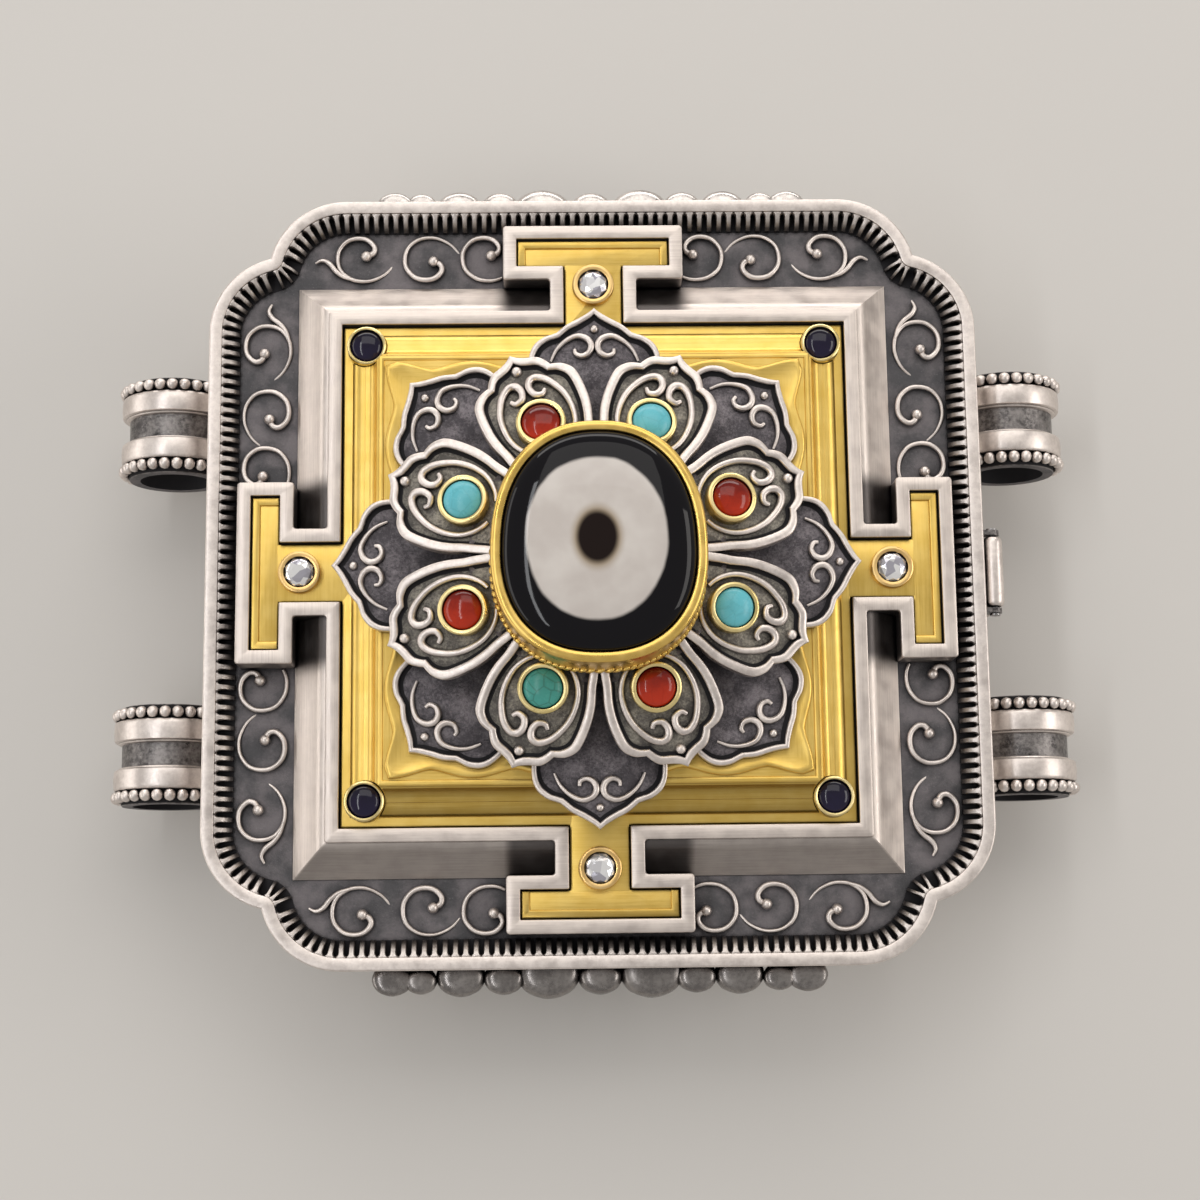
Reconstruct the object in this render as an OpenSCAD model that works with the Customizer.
// Ghau amulet box: a square silver case with notched corners and a hinged lid.
// The lid carries a silver palace frame round a gilded field, a raised gilded
// square, two rows of lotus petals, set stones and a large eye agate.
// It lies on its back: the origin is the middle of the back face, +Z is the
// front, +Y the top edge and +X the side with the hasp. Lengths are millimetres.

/* [Lid] */
// Width of the square lid
lid_w = 48; // [46:0.5:54]
// Radius of the two lobes that meet at a corner notch
lobe_r = 4.9; // [4.6:0.1:5.4]
// Gap between a corner notch's fluted ring and the frame's corner
notch_gap = 0.43; // [0.3:0.01:0.8]
// Thickness of the lid's floor plate
floor_t = 0.95; // [0.8:0.05:1.3]
// Height of the rim above the floor plate
rim_h = 1.15; // [0.9:0.05:1.5]
// Width of the bright band along the rim
band_w = 0.8; // [0.6:0.05:1]
// Width of the fluted ring inside the rim band
flute_w = 1.03; // [0.8:0.01:1.2]
// Spacing of the flutes along the ring
flute_pitch = 0.62; // [0.55:0.01:0.8]
// Width of the gap between two flutes
flute_gap = 0.34; // [0.2:0.01:0.4]
// How far the flutes' outer ends lie below the rim
flute_drop = 0.3; // [0.1:0.05:0.5]

/* [Case] */
// Thickness of the back plate
back_t = 1; // [0.8:0.1:1.5]
// Height of the case wall above the back plate
wall_h = 9.3; // [9.2:0.1:14]
// Thickness of the case wall
wall_t = 1.2; // [0.9:0.1:1.5]
// How far the lid's rim stands out past the case wall
overhang = 1; // [0.8:0.05:1.2]
// Depth of the lip that steps down into the case
lip_h = 1.2; // [0.8:0.1:1.6]
// Thickness of the lip
lip_t = 0.8; // [0.6:0.05:1]
// Gap between the lip and the case wall
lip_gap = 0.15; // [0.1:0.01:0.25]

/* [Palace frame] */
// Gap between a gate's outer edge and the fluted ring
gate_gap = 0.22; // [0.1:0.01:0.5]
// Width of the flat strip that outlines the field and the gates
strip_w = 0.84; // [0.6:0.02:1]
// Plan width of the sloping bevel outside the strip
bevel_w = 2.1; // [1.6:0.05:2.3]
// Plan width of the shaded step between bevel and strip
step_w = 0.46; // [0.3:0.02:0.6]
// Height of the strip above the lid's floor
frame_h = 2.2; // [1.8:0.05:2.8]
// Length of a gate's crossbar
gate_bar = 11.24; // [9:0.1:12]
// Width of a gate's crossbar
gate_bar_w = 3.47; // [3.2:0.01:3.6]
// Width of the neck between field and crossbar
gate_neck = 5.4; // [5:0.1:6.5]

/* [Gilded layers] */
// Height of the gilded field above the lid's floor
field_h = 1.75; // [1.4:0.05:2]
// Thickness of the gilded sheet over its hollow
gilt_t = 0.8; // [0.6:0.05:1]
// Gap between the gilded plate and the frame
gilt_gap = 0.05; // [0.02:0.01:0.08]
// Height of the raised border round each crossbar's panel
panel_h = 0.15; // [0.1:0.01:0.25]
// Width of the raised border round each crossbar's panel
panel_rim = 0.5; // [0.4:0.05:0.7]
// Width of the field left between the frame and the raised square's foot
square_margin = 0.65; // [0.4:0.05:1.5]
// Height of the raised square above the field
square_h = 1.8; // [1.5:0.05:2.1]
// Plan width of the moulding round the raised square
moulding_w = 2.1; // [1.8:0.05:2.3]
// Thickness of the wavy cloud plate on the raised square
cloud_t = 0.2; // [0.15:0.01:0.3]
// Depth of the waves along the cloud plate's edge
cloud_wave = 0.28; // [0.15:0.01:0.35]

/* [Lotus] */
// Distance of the outer petals' tips from the middle
outer_tip = 15.95; // [15.6:0.05:16.2]
// Width of an outer petal
outer_w = 8; // [7:0.1:8.4]
// Thickness of an outer petal with its border
outer_t = 0.45; // [0.4:0.05:0.6]
// Length of an inner petal from its stone's middle to its tip
petal_nose = 4.9; // [4.5:0.05:5.4]
// Width of an inner petal
inner_w = 6.7; // [6:0.1:7]
// Thickness of an inner petal with its border
inner_t = 0.75; // [0.65:0.05:0.9]
// Height of the inner petals' tips above the outer petals
inner_lift = 1.65; // [1.4:0.05:2]
// Angle at which the inner petals climb towards the middle
inner_tilt = 12; // [8:0.5:14]
// Width of an outer petal's raised border
outer_border = 0.38; // [0.3:0.02:0.45]
// Width of an inner petal's raised border
inner_border = 0.55; // [0.4:0.02:0.6]
// Height of the petals' borders above their sunk ground
border_h = 0.25; // [0.15:0.05:0.3]

/* [Centre stone] */
// Width of the centre bezel
bezel_w = 12.4; // [12:0.1:12.6]
// Length of the centre bezel
bezel_l = 14.08; // [13.6:0.02:14.2]
// Height of the centre bezel
bezel_h = 4.5; // [4:0.1:5]
// Thickness of the centre bezel's wall
bezel_wall = 0.6; // [0.4:0.05:0.7]
// How far the eye agate's dome rises above the bezel
agate_dome = 1; // [0.6:0.1:1.5]
// Radius of the centre stud
stud_r = 1; // [0.8:0.05:1.2]

/* [Small stones] */
// Radius of a petal stone
petal_stone_r = 1.17; // [1:0.01:1.18]
// Thickness of a petal stone's cup
petal_cup_wall = 0.24; // [0.15:0.01:0.35]
// Gap between a petal stone's cup and the centre bezel
petal_gap = 0.11; // [0.05:0.01:0.3]
// Radius of a gate brilliant
gate_stone_r = 0.92; // [0.8:0.01:0.95]
// Thickness of a gate brilliant's cup
gate_cup_wall = 0.34; // [0.2:0.01:0.4]
// How far a gate brilliant's middle lies inside the crossbar's inner side
gate_stone_in = 0.44; // [0:0.02:0.6]
// Radius of a corner stone
corner_stone_r = 0.98; // [0.8:0.01:1]
// Thickness of a corner stone's cup
corner_cup_wall = 0.2; // [0.12:0.01:0.3]
// Width of the field left between a corner stone's cup and the frame
corner_margin = 0.35; // [0.2:0.01:0.5]

/* [Bails] */
// Radius of a bail's bore, where the cord passes
bail_bore_r = 2.3; // [1.8:0.05:2.5]
// Thickness of a bail's tube
bail_wall = 0.7; // [0.5:0.05:1]
// Thickness of a bail's two raised bands
bail_band_t = 0.5; // [0.3:0.05:0.7]
// How far a bail's tube stands out past its beads
bail_end = 0.14; // [0.05:0.01:0.3]
// Width of the sunk middle band
bail_mid_w = 1.7; // [1.4:0.1:2]
// Width of each raised band
bail_band_w = 1.35; // [1.1:0.05:1.5]
// Radius of the beads at a bail's ends
bead_r = 0.38; // [0.3:0.01:0.4]
// Beads in one ring
bead_count = 20; // [16:1:20]
// Gap between a bail's bands and the case wall
bail_gap = 0.5; // [0.4:0.05:0.9]
// Gap between the hinge pin's heads and the bails beside it
bail_side_gap = 0.4; // [0.3:0.05:2.5]
// Gap between a bail's bands and the lid above
bail_lid_gap = 1; // [0.8:0.05:1.8]

/* [Hinge and hasp] */
// Radius of the hinge knuckles
knuckle_r = 0.6; // [0.55:0.01:0.62]
// Radius of the hinge pin
hinge_pin_r = 0.3; // [0.25:0.01:0.32]
// Length of the whole hinge
hinge_l = 13.2; // [11:0.2:13.4]
// Radius of the hasp's barrel
hasp_barrel_r = 0.62; // [0.58:0.01:0.65]
// Radius of the hasp's pin
hasp_pin_r = 0.22; // [0.18:0.01:0.24]
// Width of the hasp
hasp_w = 4.4; // [4:0.1:6]
// Length of the hasp below its pivot
hasp_drop = 5.7; // [5:0.1:6.2]
// Thickness of the hasp
hasp_t = 0.7; // [0.6:0.05:0.75]

/* [Side ornament] */
// Width of bare wall left beside the ornament on the top and bottom walls
ornament_margin = 1.7; // [1:0.1:3]
// Thickness of the ornament's backing
ornament_t = 0.8; // [0.4:0.05:1]
// Height of bare wall left above and below the ornament
ornament_gap = 0.65; // [0.5:0.05:1.4]
// Radius of the ornament's fullest lobes
ornament_r = 1.65; // [1.5:0.05:1.7]

/* [Hidden] */
$fn = 48;
over = 0.5;                     // overrun of every cut
fit_gap = 0.03;                 // radial gap of a pin in its bore
knuckle_gap = 0.1;              // gap between two knuckles, and beside the hasp
stone_gap = 0.04;               // gap round a stone in its bezel
bar_lap = 0.06;                 // how far a crossbar laps over the bevel's foot

// Levels above the back face
z_lid = back_t + wall_h;
z_floor = z_lid + floor_t;
z_field = z_floor + field_h;
z_square = z_field + square_h;
z_outer = z_square + cloud_t;
z_outer_top = z_outer + outer_t;
z_inner_tip = z_outer_top + inner_lift;

// Half widths, from the lid's side inwards
lid_half = lid_w / 2;
case_half = lid_half - overhang;
lip_inset = overhang + wall_t + lip_gap;
ring_half = lid_half - band_w - flute_w;
gate_reach = ring_half - gate_gap;
foot_half = gate_reach - gate_bar_w + bar_lap;
strip_half = foot_half - bevel_w;
field_half = strip_half - strip_w;
square_half = field_half - square_margin - moulding_w;

// Corner outline: two lobes that meet in a notch, clear of the frame's corner
lobe_d = lid_half - lobe_r;
notch_at = foot_half + notch_gap + (band_w + flute_w) * cos(45);
lobe_c = notch_at - sqrt(pow(lobe_r, 2) - pow(notch_at - lobe_d, 2));
notch_angle = atan2(notch_at - lobe_c, notch_at - lobe_d);

function turned(p, a) = [p[0] * cos(a) - p[1] * sin(a), p[0] * sin(a) + p[1] * cos(a)];
function around(a, r) = [r * cos(a), r * sin(a)];

// The lid's plan, or the same outline set in by a wall's thickness
module outline(inset = 0) {
    difference() {
        for (q = [0:90:270]) rotate(q) {
            translate([0, -lobe_c]) square([lid_half - inset, 2 * lobe_c]);
            translate([lobe_d, lobe_c]) circle(r = lobe_r - inset);
            translate([lobe_c, lobe_d]) circle(r = lobe_r - inset);
            polygon([[0, 0], [lobe_d, lobe_c], [notch_at, notch_at], [lobe_c, lobe_d]]);
        }
        if (inset > 0) for (q = [0:90:270]) rotate(q) translate([notch_at, notch_at]) circle(r = inset);
    }
}

// A smooth curve through points, as straight pieces
function between(a, b, c, d, t) = 0.5 * ((2 * b) + (c - a) * t + (2 * a - 5 * b + 4 * c - d) * pow(t, 2)
    + (3 * b - a - 3 * c + d) * pow(t, 3));
function smooth(p, steps) = let(n = len(p) - 1) concat(
    [for (i = [0:n - 1]) for (s = [0:steps - 1])
        between(p[max(i - 1, 0)], p[i], p[i + 1], p[min(i + 2, n)], s / steps)], [p[n]]);

// A ribbon of tapering width along a curve
function side_of(p, i) = let(n = len(p) - 1, d = p[min(i + 1, n)] - p[max(i - 1, 0)]) [-d[1], d[0]] / norm(d);
module ribbon(p, w_start, w_end) {
    n = len(p) - 1;
    function half(i) = (w_start + (w_end - w_start) * i / n) / 2;
    polygon(concat([for (i = [0:n]) p[i] + side_of(p, i) * half(i)],
        [for (i = [n:-1:0]) p[i] - side_of(p, i) * half(i)]));
}

function sized(shares, sx, sy) = [for (s = shares) [s[0] * sx, s[1] * sy]];

module pipe(r_out, r_in, length) {
    difference() {
        cylinder(r = r_out, h = length);
        translate([0, 0, -over]) cylinder(r = r_in, h = length + 2 * over);
    }
}

module along_y() { rotate([-90, 0, 0]) children(); }

module stud_hole(z_low, z_high) {
    translate([0, 0, z_low - over]) cylinder(r = stud_r + fit_gap, h = z_high - z_low + 2 * over);
}

// Case: back plate, wall and the relief on its top and bottom sides
module back_plate() {
    color("silver") linear_extrude(back_t) outline(overhang);
}

module case_wall() {
    color("silver") translate([0, 0, back_t]) linear_extrude(wall_h) difference() {
        outline(overhang);
        outline(overhang + wall_t);
    }
}

// Places, radii and heights of the relief's lobes, as shares from the middle out
lobe_at_shares = [0, 0.228, 0.425, 0.615, 0.79, 0.915];
lobe_r_shares = [0.7, 1, 0.62, 0.76, 0.5, 0.62];
lobe_h_shares = [1, 0.92, 0.6, 0.72, 0.46, 0.4];
bud_shares = [[0, -1], [0.34, -0.84], [0.64, -0.5], [0.85, 0], [0.97, 0.36], [1, 0.6], [0.9, 0.8], [0.58, 0.95], [0, 1]];
lobe_out = 0.55;                // share of a smaller lobe's missing depth that its place makes up
lobe_fit = 0.95;                // height of a lobe as a share of its backing's
ornament_l = 2 * (lobe_c - ornament_margin);
ornament_h = wall_h - 2 * ornament_gap;
ornament_z = back_t + wall_h / 2;

// Puts one of the hanging lobes, or its backing, with its top at the relief's top
module at_lobe(i, s) {
    translate([s * lobe_at_shares[i] * ornament_l / 2, 0, ornament_z + (1 - lobe_h_shares[i]) * ornament_h / 2])
        children();
}

module wall_ornament() {
    color("silver") intersection() {
        for (i = [0:len(lobe_at_shares) - 1]) for (s = i == 0 ? [1] : [-1, 1]) {
            r = lobe_r_shares[i] * ornament_r;
            at_lobe(i, s) translate([0, case_half + ornament_t, 0]) rotate([90, 0, 0]) linear_extrude(ornament_t)
                scale([1, lobe_h_shares[i]]) circle(d = ornament_h, $fn = 32);
            at_lobe(i, s) translate([0, case_half + ornament_t + lobe_out * (ornament_r - r), 0])
                rotate_extrude($fn = 32)
                    polygon(sized(bud_shares, r, lobe_fit * lobe_h_shares[i] * ornament_h / 2));
        }
        translate([-ornament_l / 2, case_half, back_t]) cube([ornament_l, 2 * ornament_r + ornament_t, wall_h]);
    }
}

module north_ornament() { wall_ornament(); }
module south_ornament() { rotate([0, 0, 180]) wall_ornament(); }

// Bails: tube with a foot on the case wall, two raised bands, two rings of beads
pin_head = 0.4;                 // thickness and overhang of the hinge pin's heads
bail_r = bail_bore_r + bail_wall;
bail_band_r = bail_r + bail_band_t;
bail_l = bail_mid_w + 2 * (bail_band_w + 2 * bead_r + bail_end);
bail_out = bail_band_r + bail_gap;
bail_x = case_half + bail_out;
bail_at = hinge_l / 2 + pin_head + bail_side_gap + bail_l / 2;
bail_z = z_lid - bail_lid_gap - bail_band_r;
foot_w = bail_mid_w;
foot_h = 1.2 * bail_r;
bead_ring_r = bail_band_r - bead_r / 2;
bead_y = bail_mid_w / 2 + bail_band_w + bead_r;

module place_bail(east, north) {
    translate([east * bail_x, north * bail_at, bail_z]) rotate(east > 0 ? 0 : 180) children();
}

module bail_tube(east, north) {
    color("dimgray") place_bail(east, north) difference() {
        union() {
            translate([0, -bail_l / 2, 0]) along_y() cylinder(r = bail_r, h = bail_l);
            translate([-bail_out, -foot_w / 2, -foot_h / 2]) cube([bail_out, foot_w, foot_h]);
        }
        translate([0, -bail_l / 2 - over, 0]) along_y() cylinder(r = bail_bore_r, h = bail_l + 2 * over);
    }
}

module bail_bands(east, north) {
    color("silver") place_bail(east, north) for (s = [-1, 1])
        translate([0, s * (bail_mid_w + bail_band_w) / 2 - bail_band_w / 2, 0])
            along_y() pipe(bail_band_r, bail_r, bail_band_w);
}

module bail_beads(east, north) {
    color("silver") place_bail(east, north) for (s = [-1, 1]) translate([0, s * bead_y, 0]) difference() {
        union() {
            translate([0, -bead_r / 2, 0]) along_y() cylinder(r = bead_ring_r, h = bead_r);
            for (i = [0:bead_count - 1]) rotate([0, i * 360 / bead_count, 0])
                translate([bead_ring_r, 0, 0]) sphere(r = bead_r, $fn = 24);
        }
        translate([0, -bead_r - over, 0]) along_y() cylinder(r = bail_r, h = 2 * (bead_r + over));
    }
}

// Hinge under the west rim: two case knuckles, one lid knuckle and the pin
hinge_clear = 0.15;             // gap between the knuckles and the lid
hinge_x = -case_half - knuckle_r - knuckle_gap / 2;
hinge_z = z_lid - knuckle_r - hinge_clear;
lid_knuckle_l = hinge_l / 3;
case_knuckle_l = (hinge_l - lid_knuckle_l) / 2 - knuckle_gap;
pin_head_r = hinge_pin_r + pin_head / 2;

module hinge_barrel(y_low, length) {
    translate([hinge_x, y_low, hinge_z]) along_y() cylinder(r = knuckle_r, h = length);
}

module hinge_bore() {
    translate([hinge_x, -hinge_l / 2 - over, hinge_z]) along_y()
        cylinder(r = hinge_pin_r + fit_gap, h = hinge_l + 2 * over);
}

module case_knuckles() {
    color("silver") for (s = [-1, 1]) {
        y_low = s > 0 ? hinge_l / 2 - case_knuckle_l : -hinge_l / 2;
        difference() {
            union() {
                hinge_barrel(y_low, case_knuckle_l);
                translate([hinge_x, y_low, hinge_z - knuckle_r])
                    cube([-case_half - hinge_x, case_knuckle_l, 1.5 * knuckle_r]);
            }
            hinge_bore();
        }
    }
}

module hinge_pin() {
    color("gray") translate([hinge_x, 0, hinge_z]) along_y() {
        translate([0, 0, -hinge_l / 2 - fit_gap]) cylinder(r = hinge_pin_r, h = hinge_l + 2 * fit_gap);
        for (s = [0, 1]) mirror([0, 0, s]) translate([0, 0, hinge_l / 2 + fit_gap])
            cylinder(r = pin_head_r, h = pin_head);
    }
}

module lid_knuckle() {
    color("silver") difference() {
        union() {
            hinge_barrel(-lid_knuckle_l / 2, lid_knuckle_l);
            translate([hinge_x - knuckle_r / 2, -lid_knuckle_l / 2, hinge_z])
                cube([knuckle_r, lid_knuckle_l, z_lid - hinge_z]);
        }
        hinge_bore();
    }
}

// Hasp on the east rim: ears and pin on the lid, the flap, a catch on the wall
hasp_x = lid_half + hasp_barrel_r + knuckle_gap;
hasp_z = z_floor;
ear_r = 0.7 * hasp_barrel_r;
ear_t = 0.3;
hasp_reach = 0.25 * hasp_t;     // how far the flap's inner face lies inside the axis
nub_h = 0.7;                    // height of the flap's nub and of the catch
nub_clear = 0.1;                // gap between nub and catch
nub_x = hasp_x - hasp_reach - lid_half;
catch_z = hasp_z - 0.72 * hasp_drop;
groove_count = 7;
groove_d = 0.12;
hasp_round = 0.3;               // rounding of the hasp's outer edges

module hasp_ears() {
    color("silver") for (s = [-1, 1]) {
        y_low = s > 0 ? hasp_w / 2 + knuckle_gap : -hasp_w / 2 - knuckle_gap - ear_t;
        difference() {
            union() {
                translate([hasp_x, y_low, hasp_z]) along_y() cylinder(r = ear_r, h = ear_t);
                translate([lid_half, y_low, hasp_z - ear_r]) cube([hasp_x - lid_half, ear_t, 2 * ear_r]);
            }
            translate([hasp_x, y_low - over, hasp_z]) along_y()
                cylinder(r = hasp_pin_r + fit_gap, h = ear_t + 2 * over);
        }
    }
}

module hasp_pin() {
    pin_l = hasp_w + 2 * (knuckle_gap + ear_t);
    color("gray") translate([hasp_x, 0, hasp_z]) along_y() {
        translate([0, 0, -pin_l / 2 - fit_gap]) cylinder(r = hasp_pin_r, h = pin_l + 2 * fit_gap);
        for (s = [0, 1]) mirror([0, 0, s]) translate([0, 0, pin_l / 2 + fit_gap])
            cylinder(r = 1.5 * hasp_pin_r, h = hasp_pin_r / 2);
    }
}

// Side view of the flap: a barrel, then a plate with grooves across its face
module hasp_profile() {
    x_in = -hasp_reach;
    x_out = hasp_t - hasp_reach;
    step = (hasp_drop - hasp_barrel_r) / (groove_count + 1);
    grooves = [for (i = [1:groove_count]) for (p = [[0, -1], [1, -1], [1, 1], [0, 1]])
        [x_out - p[0] * groove_d, -hasp_drop + step * (i + p[1] / 4)]];
    difference() {
        union() {
            circle(r = hasp_barrel_r);
            polygon(concat([[x_in, 0], [x_in, -hasp_drop], [x_out, -hasp_drop]], grooves, [[x_out, 0]]));
            translate([x_in - (nub_x - nub_clear), catch_z - hasp_z - 1.5 * nub_h])
                square([nub_x - nub_clear + hasp_t / 2, nub_h]);
        }
        circle(r = hasp_pin_r + fit_gap);
    }
}

module hasp_flap() {
    color("silver") translate([hasp_x, 0, hasp_z]) intersection() {
        translate([0, hasp_w / 2, 0]) rotate([90, 0, 0]) linear_extrude(hasp_w) hasp_profile();
        translate([0, 0, -hasp_drop - over]) linear_extrude(hasp_drop + hasp_barrel_r + 2 * over)
            offset(r = hasp_round, $fn = 24) translate([hasp_round - hasp_w, hasp_round - hasp_w / 2])
                square([hasp_w + hasp_barrel_r - 2 * hasp_round, hasp_w - 2 * hasp_round]);
    }
}

module catch_bead() {
    color("silver") translate([case_half, -hasp_w / 4, catch_z - nub_h / 2])
        cube([overhang + nub_clear / 2, hasp_w / 2, nub_h]);
}

// Lid: floor plate, lip, rim band and fluted ring
module lid_plate() {
    color("silver") translate([0, 0, z_lid]) difference() {
        linear_extrude(floor_t) outline();
        stud_hole(0, floor_t);
    }
}

module lid_lip() {
    color("silver") translate([0, 0, z_lid - lip_h]) linear_extrude(lip_h) difference() {
        outline(lip_inset);
        outline(lip_inset + lip_t);
    }
}

module rim_band() {
    color("silver") translate([0, 0, z_floor]) linear_extrude(rim_h) difference() {
        outline();
        outline(band_w);
    }
}

// Flutes: each gap is a place on the ring's outer line and the way it faces
flute_base = 0.15;              // thickness of the sheet that joins the flutes
side_gaps = 2 * floor(lobe_c / flute_pitch);
lobe_gaps = floor(notch_angle * PI / 180 * (lobe_r - band_w) / flute_pitch);
function lobe_gap(c, a) = [c + around(a, lobe_r - band_w), a];
function quarter_gaps() = concat(
    [for (i = [1:side_gaps]) [[lid_half - band_w, lobe_c * (2 * i - 1 - side_gaps) / side_gaps], 0]],
    [for (i = [1:lobe_gaps]) lobe_gap([lobe_d, lobe_c], notch_angle * (i - 0.5) / lobe_gaps)],
    [[[notch_at, notch_at] - around(45, band_w), 45]],
    [for (i = [lobe_gaps:-1:1]) lobe_gap([lobe_c, lobe_d], 90 - notch_angle * (i - 0.5) / lobe_gaps)]);
function gap_points(g) = let(out = around(g[1], 1), along = around(g[1] + 90, 1), w = flute_gap / 2,
    far = flute_w + gate_gap / 2)
    [g[0] - out * far - along * w, g[0] + (out - along) * w, g[0] + (out + along) * w,
        g[0] - out * far + along * w];

module fluted_ring() {
    comb = [for (q = [0:90:270]) for (g = quarter_gaps()) for (p = gap_points(g)) turned(p, q)];
    color("dimgray") translate([0, 0, z_floor]) difference() {
        linear_extrude(rim_h - flute_drop) difference() {
            outline(band_w);
            outline(band_w + flute_w);
        }
        translate([0, 0, flute_base]) linear_extrude(rim_h) polygon(comb);
    }
}

// Running vine on the lid's floor: three scrolls and a leaf on each half side
vine_w = 0.24;                  // width of the vine's wire
vine_h = 0.45;                  // height of the vine above the floor
vine_ball_r = 0.3;
leaf_w = 0.42;
channel_w = ring_half - foot_half;
vine_share = 0.53;              // place of the vine across its channel
scroll_share = 0.358;           // size of a scroll in its channel
vine_line = foot_half + vine_share * channel_w;
scroll_r = scroll_share * channel_w;
scroll_from_notch_shares = [4.12, 7.39, 10.2];
scroll_at = [for (s = scroll_from_notch_shares) notch_at - s * scroll_r];
scroll_shares = [[0.46, 0.14], [0.76, 0.22], [0.92, 0.52], [0.7, 0.88], [0.05, 1.05], [-0.66, 0.76],
    [-0.95, 0.05], [-0.68, -0.62], [-0.05, -1.03], [0.5, -1.03], [1.1, -0.76], [1.6, -0.3]];
leaf_shares = [[-2.3, -0.1], [-1.95, 0.12], [-1.6, -0.05], [-1.2, -0.75], [-0.75, -1.08]];

// In a half side the first number runs away from the gate, the second outwards
module vine_scroll(at, flip) {
    line = smooth(sized(scroll_shares, -scroll_r, flip * scroll_r), 3);
    translate([at, vine_line]) {
        ribbon(line, vine_w * 1.2, vine_w * 0.8);
        translate(line[0]) circle(r = vine_ball_r, $fn = 16);
    }
}

module vine_scrolls() {
    color("silver") translate([0, 0, z_floor]) linear_extrude(vine_h)
        for (q = [0:90:270]) rotate(q) for (m = [0, 1]) mirror([m, 0]) difference() {
            union() {
                for (i = [0:2]) vine_scroll(scroll_at[i], i == 1 ? -1 : 1);
                translate([scroll_at[0], vine_line])
                    ribbon(smooth(sized(leaf_shares, -scroll_r, scroll_r), 3), vine_w / 2, leaf_w);
            }
            translate([0, vine_line - 2 * scroll_r]) square([gate_bar / 2 + gilt_gap, 4 * scroll_r]);
        }
}

// Plan of the field with its four gates; grow moves the outline outwards
module palace_plan(grow) {
    h = field_half + grow;
    neck = gate_neck / 2 - strip_w + grow;
    bar = gate_bar / 2 - strip_w + grow;
    bar_in = gate_reach - gate_bar_w + strip_w - grow;
    bar_out = gate_reach - strip_w + grow;
    side = [[h, -neck], [bar_in, -neck], [bar_in, -bar], [bar_out, -bar], [bar_out, bar], [bar_in, bar],
        [bar_in, neck], [h, neck], [h, h]];
    polygon([for (q = [0:90:270]) for (p = side) turned(p, q)]);
}

// A square moulding with mitred corners: a profile run both ways and crossed
module mitred(profile) {
    reach = 2 * max([for (p = profile) p[0]]) + over;
    both = concat(profile, [for (i = [len(profile) - 1:-1:0]) [-profile[i][0], profile[i][1]]]);
    intersection() {
        rotate([90, 0, 0]) translate([0, 0, -reach / 2]) linear_extrude(reach) polygon(both);
        rotate([90, 0, 90]) translate([0, 0, -reach / 2]) linear_extrude(reach) polygon(both);
    }
}

// Bevel from the foot up to the strip: a slope, then a step that lies in shade and runs into the strip
bevel_shares = [[1, 0], [0.24, 0.78], [0.21, 0.8], [0, 0.85], [-0.1, 0.87]];

module palace_frame() {
    slope = [for (s = bevel_shares) [strip_half + step_w * min(1, s[0] / bevel_shares[1][0])
        + (bevel_w - step_w) * max(0, s[0] - bevel_shares[1][0]) / (1 - bevel_shares[1][0]), s[1] * frame_h]];
    color("silver") translate([0, 0, z_floor]) difference() {
        union() {
            mitred(slope);
            linear_extrude(frame_h) palace_plan(strip_w);
        }
        translate([0, 0, -over]) linear_extrude(frame_h + 2 * over) palace_plan(0);
    }
}

module gold_plate() {
    bar_half = gate_bar / 2 - strip_w - gilt_gap;
    bar_in = gate_reach - gate_bar_w + strip_w + gilt_gap;
    bar_out = gate_reach - strip_w - gilt_gap;
    color("gold") translate([0, 0, z_floor]) {
        difference() {
            linear_extrude(field_h) palace_plan(-gilt_gap);
            translate([0, 0, -over]) linear_extrude(field_h - gilt_t + over) palace_plan(-gilt_t);
            stud_hole(0, field_h);
        }
        for (q = [0:90:270]) rotate(q) translate([0, 0, field_h - panel_h]) linear_extrude(2 * panel_h)
            polygon([[bar_in, -bar_half], [bar_out, -bar_half], [bar_out, bar_half], [bar_in, bar_half],
                [bar_in, bar_half - panel_rim], [bar_out - panel_rim, bar_half - panel_rim],
                [bar_out - panel_rim, panel_rim - bar_half], [bar_in, panel_rim - bar_half]]);
    }
}

// Raised square: a quarter-round foot, a step and a hollow up to the top edge
moulding_shares = [[1, 0], [0.97, 0.2], [0.86, 0.36], [0.66, 0.46], [0.56, 0.46], [0.56, 0.56], [0.5, 0.6],
    [0.36, 0.66], [0.24, 0.78], [0.18, 0.92], [0.16, 1], [0, 1]];

module raised_square() {
    inside = 2 * (square_half - gilt_t);
    cut_r = corner_bezel_r + gilt_gap;
    color("gold") translate([0, 0, z_field]) difference() {
        mitred([for (s = moulding_shares) [square_half + s[0] * moulding_w, s[1] * square_h]]);
        translate([-inside / 2, -inside / 2, -over]) cube([inside, inside, square_h - gilt_t + over]);
        for (q = [0:90:270]) rotate(q) translate([corner_stone_at, corner_stone_at, -over]) {
            cylinder(r = cut_r, h = square_h + 2 * over);
            translate([0, -cut_r, 0]) cube([2 * cut_r, 3 * cut_r, square_h + 2 * over]);
            translate([-cut_r, 0, 0]) cube([2 * cut_r, 2 * cut_r, square_h + 2 * over]);
        }
        stud_hole(0, square_h);
    }
}

cloud_waves = 5;                // waves along one side of the cloud plate
cloud_steps = 8;                // straight pieces in one wave

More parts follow.
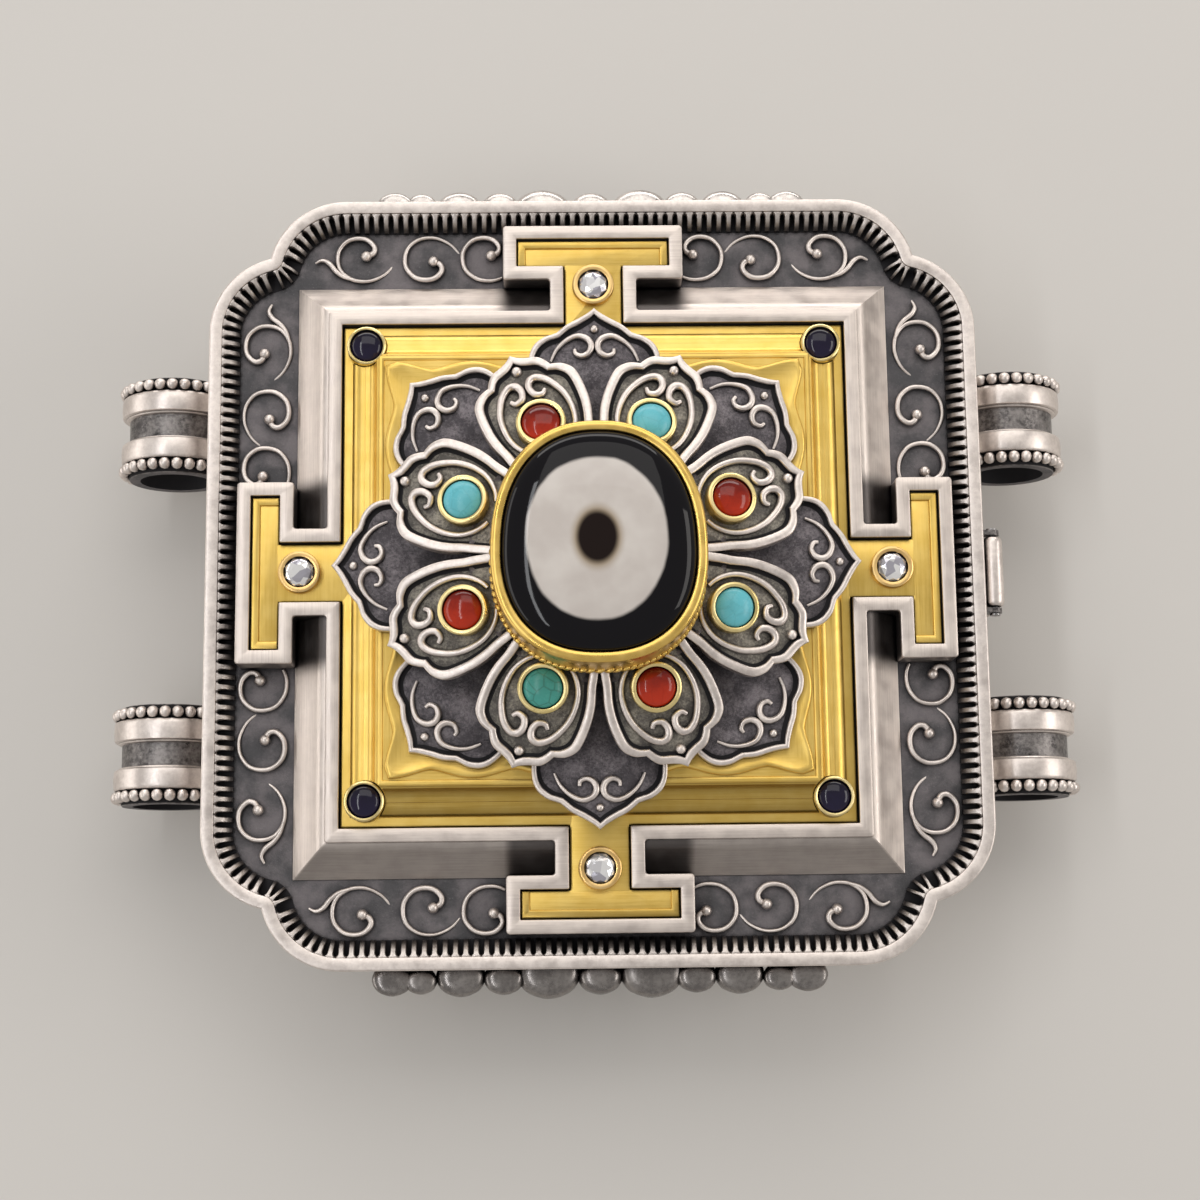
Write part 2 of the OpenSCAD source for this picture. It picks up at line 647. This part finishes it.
module cloud_plate() {
    half = square_half - cloud_wave - gilt_gap;
    n = cloud_waves * cloud_steps;
    edge = [for (i = [0:n - 1]) [half + cloud_wave * cos(360 * i / cloud_steps), half * (2 * i / n - 1)]];
    color("gold") translate([0, 0, z_square]) difference() {
        linear_extrude(cloud_t) polygon([for (q = [0:90:270]) for (p = edge) turned(p, q)]);
        stud_hole(0, cloud_t);
    }
}

// Places of the stones and cups, from the sizes of what carries them
petal_bezel_r = petal_stone_r + stone_gap + petal_cup_wall;
gate_bezel_r = gate_stone_r + stone_gap + gate_cup_wall;
corner_bezel_r = corner_stone_r + stone_gap + corner_cup_wall;
petal_stone_at = bezel_l / 2 + petal_gap + petal_bezel_r;
gate_stone_at = foot_half - gate_stone_in;
corner_stone_at = field_half - corner_margin - corner_bezel_r;
inner_tip = petal_stone_at + petal_nose;

// Petals: half outlines from base to tip, as shares of petal length and half width
outer_shares = [[0, 0.6], [0.29, 0.85], [0.51, 0.99], [0.64, 1], [0.726, 0.93], [0.782, 0.79], [0.804, 0.66],
    [0.817, 0.58], [0.877, 0.425], [0.922, 0.245], [0.966, 0.09], [1, 0]];
inner_shares = [[0, 0.76], [0.153, 0.94], [0.316, 1], [0.511, 1], [0.625, 0.955], [0.707, 0.82], [0.739, 0.69],
    [0.751, 0.61], [0.821, 0.537], [0.878, 0.433], [0.915, 0.24], [0.951, 0.104], [1, 0]];
outer_volute_shares = [[0.681, 0.59], [0.751, 0.51], [0.804, 0.388], [0.838, 0.225], [0.815, 0.095],
    [0.77, 0.043], [0.723, 0.075], [0.701, 0.165], [0.717, 0.25], [0.746, 0.265]];
inner_volute_shares = [[0.06, 0.53], [0.127, 0.56], [0.274, 0.62], [0.495, 0.58], [0.655, 0.43], [0.71, 0.255],
    [0.69, 0.125], [0.617, 0.075], [0.54, 0.125], [0.52, 0.255], [0.56, 0.33]];
hub_margin = 0.56;              // how far the discs that join the petals reach past the bezel
hub_r = bezel_l / 2 + hub_margin;
petal_foot = 0.24;              // how far the petals' bases lie inside the discs' edge
petal_base = hub_r - petal_foot;
petal_wire = 0.24;              // width of the wire in the petals' volutes
outer_ball_r = 0.19;
inner_ball_r = 0.28;
outer_ball_share = 0.882;
inner_ball_share = 0.82;

function on_petal(shares, tip, half_w) = [for (s = shares) [petal_base + s[0] * (tip - petal_base), s[1] * half_w]];

// The plan of a petal, prolonged inwards by a tail
module petal_shape(tip, half_w, shares, tail = 0) {
    right = on_petal(shares, tip, half_w);
    all = tail > 0 ? concat([right[0] - [tail, 0]], right) : right;
    polygon(concat(all, [for (i = [len(all) - 2:-1:0]) [all[i][0], -all[i][1]]]));
}

// A petal with its top at zero: sunk ground, raised border, ball and two volutes
module petal(tip, w, t, border, shares, volute_shares, ball_share, ball_r) {
    difference() {
        translate([0, 0, -t]) linear_extrude(t) petal_shape(tip, w / 2, shares);
        translate([0, 0, -border_h]) linear_extrude(border_h + over)
            offset(delta = -border) petal_shape(tip, w / 2, shares, 2 * border);
    }
    translate([0, 0, -border_h]) {
        for (s = [-1, 1]) linear_extrude(border_h)
            ribbon(smooth(on_petal(volute_shares, tip, s * w / 2), 2), petal_wire, petal_wire * 1.4);
        translate([petal_base + ball_share * (tip - petal_base), 0, 0]) cylinder(r = ball_r, h = border_h, $fn = 16);
    }
}

module outer_lotus() {
    color("dimgray") difference() {
        union() {
            for (a = [0:45:315]) rotate(a) translate([0, 0, z_outer_top])
                petal(outer_tip, outer_w, outer_t, outer_border, outer_shares, outer_volute_shares,
                    outer_ball_share, outer_ball_r);
            translate([0, 0, z_outer]) cylinder(r = hub_r, h = outer_t - border_h);
        }
        stud_hole(z_outer, z_outer_top);
    }
}

// Places things on an inner petal, whose top climbs from its tip
module on_inner_petal(a) {
    rotate(a) translate([inner_tip, 0, z_inner_tip]) rotate([0, inner_tilt, 0]) translate([-inner_tip, 0, 0])
        children();
}

z_hub = z_inner_tip + (inner_tip - hub_r) * sin(inner_tilt) - border_h;
hub_t = inner_t - border_h;
inner_angles = [for (i = [0:7]) 112.5 - 45 * i];

module inner_lotus() {
    color("dimgray") difference() {
        union() {
            for (a = inner_angles) on_inner_petal(a)
                petal(inner_tip, inner_w, inner_t, inner_border, inner_shares, inner_volute_shares,
                    inner_ball_share, inner_ball_r);
            translate([0, 0, z_hub - hub_t]) cylinder(r = hub_r, h = hub_t);
        }
        translate([0, 0, z_hub]) linear_extrude(inner_t) oval(bezel_w / 2, bezel_l / 2);
        stud_hole(z_hub - hub_t, z_hub);
    }
}

core_shares = [[0.95, 0], [0.8, 0.25], [0.76, 0.5], [0.82, 0.75], [1, 1]];

module lotus_core() {
    low = z_outer_top - border_h;
    high = z_hub - hub_t;
    color("silver") difference() {
        translate([0, 0, low]) rotate_extrude() polygon(concat([[0, 0]],
            sized(core_shares, 0.8 * hub_r, high - low), [[0, high - low]]));
        stud_hole(low, high);
    }
}

// Centre stone: an oval a little squarer than an ellipse
oval_points = 48;
oval_share = 0.87;              // power that squares the oval: 1 is an ellipse
function signed_power(x, e) = sign(x) * pow(abs(x), e);
function oval_at(a, rx, ry) = [rx * signed_power(cos(a), oval_share), ry * signed_power(sin(a), oval_share)];
module oval(rx, ry) {
    polygon([for (i = [0:oval_points - 1]) oval_at(360 * i / oval_points, rx, ry)]);
}

bezel_floor = 0.4;              // thickness of the centre bezel's floor
z_bezel = z_hub;
gallery_t = 0.22;               // how far the twisted gallery stands out
gallery_h = 0.75;
gallery_turns = 52;

module centre_bezel() {
    color("gold") translate([0, 0, z_bezel]) difference() {
        linear_extrude(bezel_h) oval(bezel_w / 2, bezel_l / 2);
        translate([0, 0, bezel_floor]) linear_extrude(bezel_h)
            oval(bezel_w / 2 - bezel_wall, bezel_l / 2 - bezel_wall);
    }
}

module bezel_gallery() {
    n = 4 * gallery_turns;
    z_gallery = z_bezel + 1.2 * gallery_h;
    color("gold") translate([0, 0, z_gallery]) linear_extrude(gallery_h) difference() {
        polygon([for (i = [0:n - 1]) let(a = 360 * i / n, out = gallery_t * (0.65 - 0.35 * cos(360 * i / 4)))
            oval_at(a, bezel_w / 2 + out, bezel_l / 2 + out)]);
        oval(bezel_w / 2, bezel_l / 2);
    }
}

dome_shares = [[1, 0], [0.97, 0.3], [0.88, 0.58], [0.72, 0.8], [0.5, 0.93], [0.25, 0.99]];

// A dome over the oval, ring by ring, down to a flat seat
module eye_agate() {
    rx = bezel_w / 2 - bezel_wall - stone_gap;
    ry = bezel_l / 2 - bezel_wall - stone_gap;
    girdle = bezel_h - bezel_floor - agate_dome / 4;
    dome = 1.25 * agate_dome;
    rings = concat([[1, 0]], [for (s = dome_shares) [s[0], girdle + s[1] * dome]]);
    m = oval_points;
    points = concat([for (r = rings) for (i = [0:m - 1])
        concat(oval_at(360 * i / m, rx * r[0], ry * r[0]), [r[1]])], [[0, 0, 0], [0, 0, girdle + dome]]);
    last = len(rings) - 1;
    top = m * len(rings);
    walls = [for (k = [0:last - 1]) for (i = [0:m - 1]) let(j = (i + 1) % m)
        each [[k * m + i, (k + 1) * m + i, k * m + j], [k * m + j, (k + 1) * m + i, (k + 1) * m + j]]];
    seat = [for (i = [0:m - 1]) [top, i, (i + 1) % m]];
    cap = [for (i = [0:m - 1]) [top + 1, last * m + (i + 1) % m, last * m + i]];
    color("black") translate([0, 0, z_bezel + bezel_floor]) polyhedron(points, concat(walls, seat, cap));
}

nut_r = 2.1 * stud_r;
nut_h = 1.1 * stud_r;

module centre_stud() {
    low = z_lid - 1.5 * nut_h;
    color("gray") translate([0, 0, low]) cylinder(r = stud_r, h = z_bezel - low);
}

module stud_nut() {
    color("gray") translate([0, 0, z_lid - nut_h]) difference() {
        cylinder(r = nut_r, h = nut_h, $fn = 6);
        translate([0, 0, -over]) cylinder(r = stud_r + fit_gap, h = nut_h + 2 * over);
    }
}

// Small stones: a cup with a floor, and a cabochon or brilliant set in it
cup_floor = 0.2;
petal_cup_h = 0.75;
gate_cup_h = 0.5;
corner_cup_h = 1.05;
cabochon_shares = [[1, 0], [0.96, 0.25], [0.85, 0.52], [0.66, 0.76], [0.42, 0.92], [0.18, 0.99]];

module cup(r, stone_r, h) {
    difference() {
        cylinder(r = r, h = h);
        translate([0, 0, cup_floor]) cylinder(r = stone_r + stone_gap, h = h);
    }
}

module cabochon(r, cup_h) {
    girdle = cup_h - cup_floor - r / 8;
    translate([0, 0, cup_floor]) rotate_extrude() polygon(concat([[0, 0], [r, 0]],
        [for (s = cabochon_shares) [r * s[0], girdle + s[1] * r / 2]], [[0, girdle + r / 2]]));
}

module brilliant(r, cup_h) {
    girdle = cup_h - r / 5;
    translate([0, 0, cup_floor]) cylinder(r1 = r / 2, r2 = r, h = girdle - cup_floor, $fn = 8);
    translate([0, 0, girdle]) cylinder(r1 = r, r2 = 0.6 * r, h = 0.35 * r, $fn = 8);
}

module at_petal_stone(a) { on_inner_petal(a) translate([petal_stone_at, 0, -border_h]) children(); }
module at_gate_stone(a) { rotate(a) translate([gate_stone_at, 0, z_field]) children(); }
module at_corner_stone(a) { rotate(a) translate([corner_stone_at * sqrt(2), 0, z_field]) children(); }

module petal_bezels() {
    color("gold") difference() {
        for (a = inner_angles) at_petal_stone(a) cup(petal_bezel_r, petal_stone_r, petal_cup_h);
        translate([0, 0, z_hub]) linear_extrude(bezel_h) oval(bezel_w / 2, bezel_l / 2);
    }
}

module gate_bezels() {
    color("gold") for (a = [0:90:270]) at_gate_stone(a) cup(gate_bezel_r, gate_stone_r, gate_cup_h);
}

module corner_bezels() {
    color("gold") for (a = [45:90:315]) at_corner_stone(a) cup(corner_bezel_r, corner_stone_r, corner_cup_h);
}

// Petal stones run clockwise from the one left of the top: red and blue in turn
module petal_stone(i) {
    color(i % 2 == 0 ? "firebrick" : "turquoise") at_petal_stone(inner_angles[i])
        cabochon(petal_stone_r, petal_cup_h);
}

bail_names = ["nw", "ne", "se", "sw"];
bail_sides = [[-1, 1], [1, 1], [1, -1], [-1, -1]];
stone_names = [for (i = [0:7]) str(i % 2 == 0 ? "carnelian_" : "turquoise_", floor(i / 2) + 1)];
gate_names = ["gate_gem_east", "gate_gem_north", "gate_gem_west", "gate_gem_south"];
corner_names = ["corner_gem_ne", "corner_gem_nw", "corner_gem_sw", "corner_gem_se"];

back_plate();
case_wall();
north_ornament();
south_ornament();
case_knuckles();
hinge_pin();
catch_bead();
for (i = [0:3]) {
    bail_tube(bail_sides[i][0], bail_sides[i][1]);
    bail_bands(bail_sides[i][0], bail_sides[i][1]);
    bail_beads(bail_sides[i][0], bail_sides[i][1]);
}
lid_plate();
lid_lip();
rim_band();
fluted_ring();
vine_scrolls();
lid_knuckle();
hasp_ears();
hasp_pin();
palace_frame();
gold_plate();
raised_square();
cloud_plate();
outer_lotus();
lotus_core();
inner_lotus();
centre_bezel();
bezel_gallery();
eye_agate();
centre_stud();
stud_nut();
petal_bezels();
gate_bezels();
corner_bezels();
for (i = [0:7]) petal_stone(i);
for (i = [0:3]) {
    color("white") at_gate_stone(90 * i) brilliant(gate_stone_r, gate_cup_h);
    color("midnightblue") at_corner_stone(45 + 90 * i) cabochon(corner_stone_r, corner_cup_h);
}
hasp_flap();
